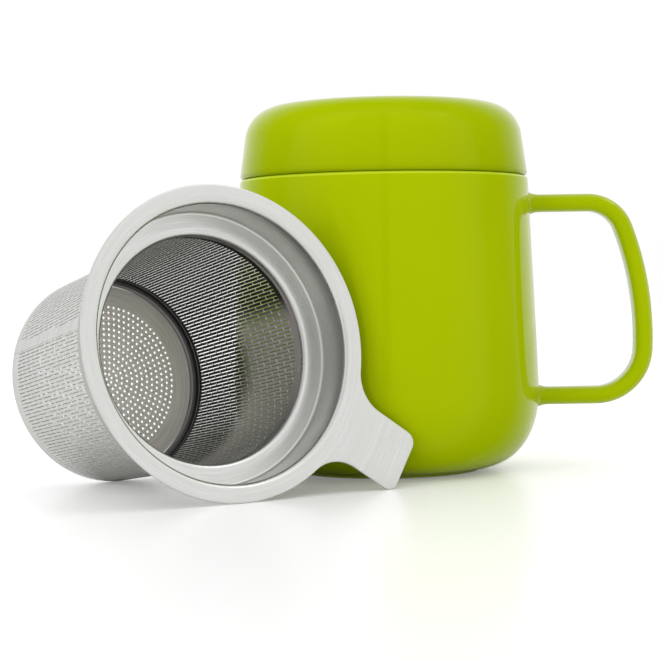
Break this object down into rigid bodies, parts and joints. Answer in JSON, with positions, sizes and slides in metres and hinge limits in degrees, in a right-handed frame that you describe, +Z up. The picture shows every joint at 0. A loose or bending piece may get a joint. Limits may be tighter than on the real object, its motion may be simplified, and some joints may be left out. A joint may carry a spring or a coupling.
{
  "type": "lidded tea mug with infuser basket",
  "caption": "Ceramic tea mug with a looped handle and a lift-off domed lid, beside a perforated steel infuser basket with a wide flange and a finger tab, lying on its side.",
  "frame": {"origin": "centre of the mug's foot, on the surface that it stands on", "axes": "+Z up along the mug's axis, +X towards the handle, -Y towards the front, where the basket lies to the left"},
  "size_m": [0.1863, 0.1436, 0.1103],
  "materials": {
    "glaze": "glossy lime-green glaze",
    "rim_steel": "satin stainless sheet, spun lines",
    "wall_steel": "satin stainless sheet with rows of fine slits",
    "base_steel": "satin stainless sheet with rings of round holes"
  },
  "bodies": {
    "mug": {"mug_body": "glaze", "mug_handle": "glaze"},
    "lid": {"lid_shell": "glaze", "lid_ring": "glaze"},
    "infuser": {"infuser_rim": "rim_steel", "infuser_wall": "wall_steel", "infuser_base": "base_steel"}
  },
  "joints": [
    {"name": "lid_lift", "type": "slide", "parent": "mug", "child": "lid", "axis": [0, 0, 1], "range_m": [0, 0.08]},
    {"name": "infuser_lift", "type": "slide", "parent": "mug", "child": "infuser", "axis": [0, 0, 1], "range_m": [0, 0.12]}
  ]
}
